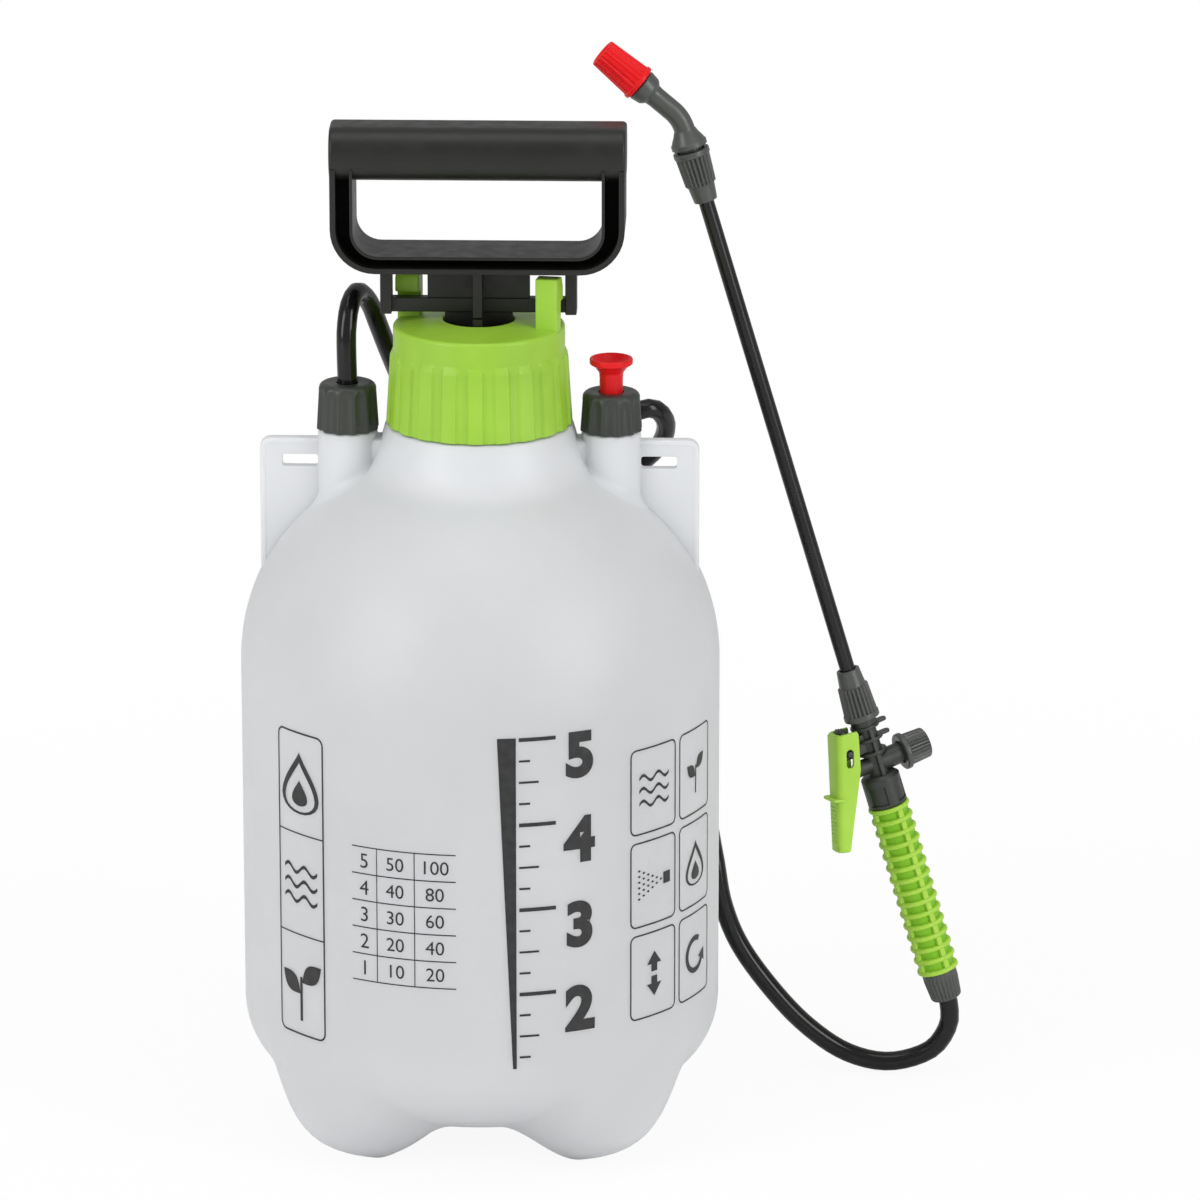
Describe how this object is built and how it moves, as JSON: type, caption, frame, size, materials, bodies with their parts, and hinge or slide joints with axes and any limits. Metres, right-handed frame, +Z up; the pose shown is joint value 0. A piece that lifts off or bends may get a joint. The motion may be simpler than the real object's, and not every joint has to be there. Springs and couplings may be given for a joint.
{
  "type": "pump sprayer",
  "caption": "Garden pressure sprayer: footed bottle with a screw-in hand pump, relief valve, hose and trigger lance with a bent nozzle.",
  "frame": {"origin": "middle of the box around everything but the hose, on the plane that the feet stand on", "axes": "+Z up along the bottle's axis, +X from the bottle towards the lance, -Y towards the viewer"},
  "size_m": [0.2948, 0.2102, 0.4404],
  "materials": {
    "tank": "milky blow-moulded polyethylene, satin",
    "clear_tube": "pale extruded tube",
    "green": "lime green moulded plastic, satin",
    "charcoal": "charcoal moulded plastic, fine grain",
    "black": "black moulded plastic",
    "hose": "glossy black flexible hose",
    "red": "red moulded plastic, satin",
    "rubber": "black sealing rubber",
    "steel": "bright drawn wire",
    "brass": "turned brass"
  },
  "bodies": {
    "tank_body": {"tank": "tank", "outlet_nut": "charcoal", "outlet_seal": "rubber", "outlet_body": "black", "dip_tube": "clear_tube", "dip_filter": "black", "relief_nut": "charcoal", "relief_body": "black", "hose": "hose", "hose_nut": "charcoal", "grip": "green", "grip_tube": "black", "valve_body": "charcoal", "trigger_pin": "steel", "valve_knob": "charcoal", "lower_lance_nut": "charcoal", "lower_ferrule": "rubber", "lance_tube": "black", "upper_lance_nut": "charcoal", "upper_ferrule": "rubber"},
    "pump": {"pump_cap": "green", "cap_gasket": "rubber", "pump_barrel": "black", "check_valve": "rubber", "guide_bush": "charcoal"},
    "piston": {"piston_head": "charcoal", "piston_seal": "rubber"},
    "handle": {"pump_handle": "charcoal", "piston_rod": "charcoal"},
    "relief_pin": {"relief_knob": "red", "relief_poppet": "charcoal", "relief_seal": "rubber", "relief_spring": "steel"},
    "trigger_body": {"trigger": "green"},
    "stem": {"valve_stem": "brass", "stem_seal": "rubber", "valve_spring": "steel"},
    "elbow_body": {"elbow": "charcoal", "nozzle_seal": "rubber", "swirl_core": "black"},
    "nozzle_body": {"nozzle_tip": "red"}
  },
  "joints": [
    {"name": "pump_lift_out", "type": "slide", "parent": "tank_body", "child": "pump", "axis": [0, 0, 1], "range_m": [0, 0.215]},
    {"name": "pump_stroke", "type": "slide", "parent": "pump", "child": "piston", "axis": [0, 0, 1], "range_m": [0, 0.16]},
    {"name": "handle_turn", "type": "hinge", "parent": "piston", "child": "handle", "pos_m": [-0.05041, 0, 0.38], "axis": [0, 0, 1], "range_deg": [-9.5, 115]},
    {"name": "relief_lift", "type": "slide", "parent": "tank_body", "child": "relief_pin", "axis": [0, 0, 1], "range_m": [0, 0.005], "stiffness_N_per_m": 500, "springref_m": -0.004, "deforming": ["relief_spring"]},
    {"name": "trigger_squeeze", "type": "hinge", "parent": "tank_body", "child": "trigger_body", "pos_m": [0.09781, 0.0572, 0.14179], "axis": [0.3897, -0.9135, 0.1163], "range_deg": [0, 14], "stiffness_Nm_per_rad": 0.15, "springref_deg": -17.19},
    {"name": "stem_push", "type": "slide", "parent": "tank_body", "child": "stem", "axis": [0.8754, 0.4067, 0.2613], "range_m": [0, 0.0027]},
    {"name": "elbow_turn", "type": "hinge", "parent": "tank_body", "child": "elbow_body", "pos_m": [0.11109, 0.062, 0.135], "axis": [-0.286, 0, 0.9582], "range_deg": [-90, 90]},
    {"name": "nozzle_turn", "type": "hinge", "parent": "elbow_body", "child": "nozzle_body", "pos_m": [0.0292, 0.062, 0.40934], "axis": [-0.7651, 0, 0.6439], "range_deg": [0, 270]}
  ],
  "couplings": [
    {"joint": "stem_push", "follows": "trigger_squeeze", "m_per_rad": 0.0103}
  ]
}
